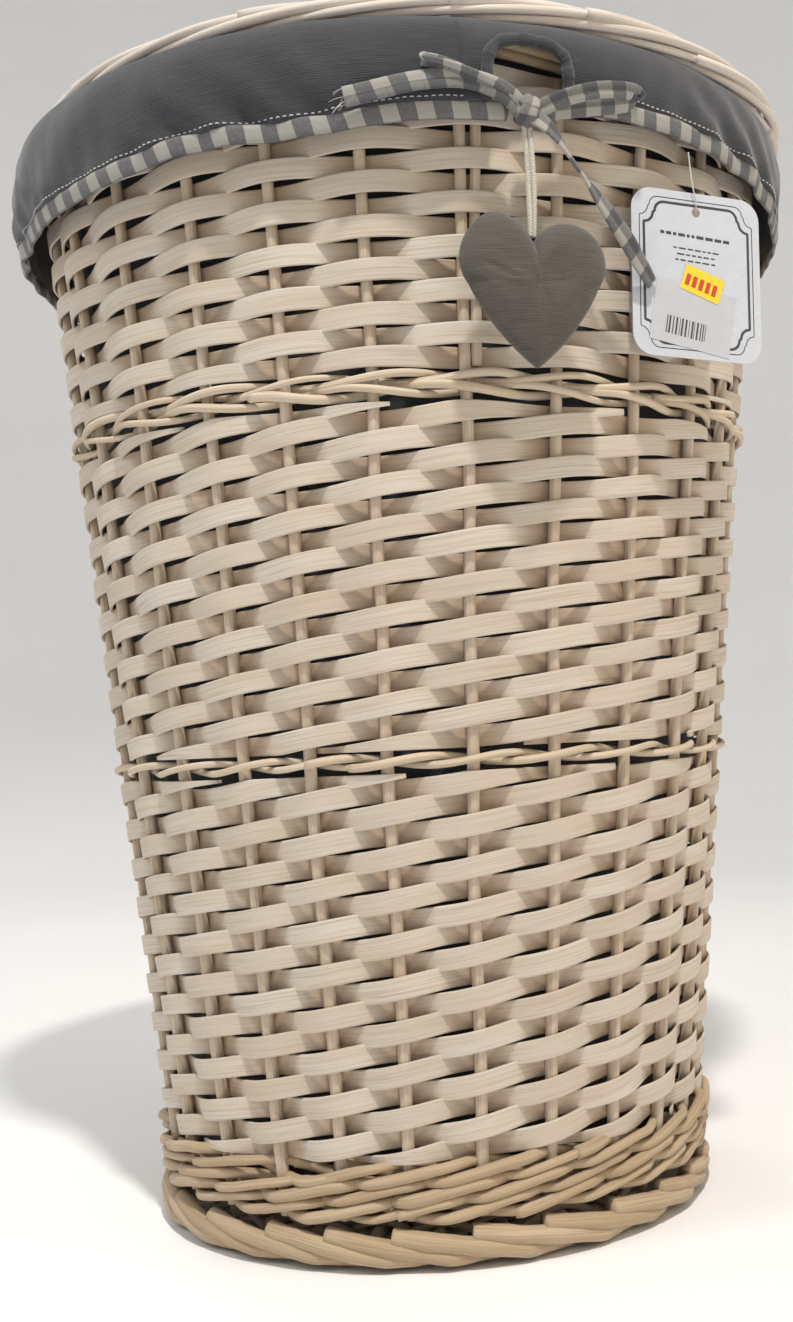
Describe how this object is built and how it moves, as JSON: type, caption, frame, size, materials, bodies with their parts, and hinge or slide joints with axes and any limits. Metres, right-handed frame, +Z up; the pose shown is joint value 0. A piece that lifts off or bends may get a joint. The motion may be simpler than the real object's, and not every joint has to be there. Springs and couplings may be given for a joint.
{
  "type": "laundry basket",
  "caption": "Round tapered willow laundry basket with a fabric liner turned over the rim, a bow, a hanging fabric heart, a swing tag and a lift-off woven lid.",
  "frame": {"origin": "centre of the plane the basket stands on, on the wall's axis", "axes": "+Z up, -Y towards the front, where the bow, the heart and the tag hang"},
  "size_m": [0.456, 0.459, 0.6118],
  "materials": {
    "willow_rod": "whitewashed round willow rod, matt",
    "willow_weaver": "whitewashed thin willow, matt",
    "willow_strip": "whitewashed split willow strip, matt",
    "lid_rod": "whitewashed round willow rod, matt",
    "liner_cloth": "ribbed linen-cotton, dark grey-brown",
    "gingham": "grey and cream gingham cotton",
    "heart_cloth": "ribbed linen-cotton, grey-brown",
    "cotton_cord": "twisted natural cotton",
    "thread": "thin cotton thread",
    "tag_card": "laminated white card",
    "label_paper": "plain paper label",
    "sticker_paper": "plain yellow sticker"
  },
  "bodies": {
    "basket": {"foot_border": "willow_rod", "base_sticks": "willow_rod", "base_weave": "willow_weaver", "stakes": "willow_rod", "bye_stake": "willow_rod", "lower_wale": "willow_weaver", "lower_weave_1": "willow_strip", "lower_weave_2": "willow_strip", "lower_weave_3": "willow_strip", "lower_weave_4": "willow_strip", "lower_weave_5": "willow_strip", "middle_weave_1": "willow_strip", "middle_weave_2": "willow_strip", "middle_weave_3": "willow_strip", "middle_weave_4": "willow_strip", "upper_weave_1": "willow_strip", "upper_weave_2": "willow_strip", "upper_weave_3": "willow_strip", "upper_weave_4": "willow_strip", "middle_pairing": "willow_weaver", "upper_pairing": "willow_weaver", "rim_border": "willow_rod", "liner_floor": "liner_cloth", "liner_wall": "liner_cloth", "liner_cuff": "liner_cloth", "hem_binding": "gingham", "slot_edge": "liner_cloth", "bow_knot": "gingham", "bow_loop_left": "gingham", "bow_loop_right": "gingham", "ribbon_tail_left": "gingham", "ribbon_tail_right": "gingham"},
    "lid": {"lid_border": "lid_rod", "lid_sticks": "willow_rod", "lid_weave": "lid_rod"},
    "heart_cord": {"heart_cord": "cotton_cord"},
    "heart": {"heart": "heart_cloth"},
    "tag": {"swing_tag": "tag_card", "tag_label": "label_paper", "tag_sticker": "sticker_paper", "tag_thread": "thread"}
  },
  "joints": [
    {"name": "lid_lift", "type": "slide", "parent": "basket", "child": "lid", "axis": [0, 0, 1], "range_m": [0, 0.25]},
    {"name": "heart_swing", "type": "hinge", "parent": "basket", "child": "heart_cord", "pos_m": [0.05873, -0.21616, 0.531], "axis": [0.2622, -0.965, 0], "range_deg": [-20, 4]},
    {"name": "heart_tilt", "type": "hinge", "parent": "heart_cord", "child": "heart", "pos_m": [0.05873, -0.21616, 0.4776], "axis": [-0.965, -0.2622, 0], "range_deg": [0, 35]},
    {"name": "tag_swing", "type": "hinge", "parent": "basket", "child": "tag", "pos_m": [0.1432, -0.17091, 0.53502], "axis": [0.2924, -0.9563, 0], "range_deg": [0, 15]}
  ]
}
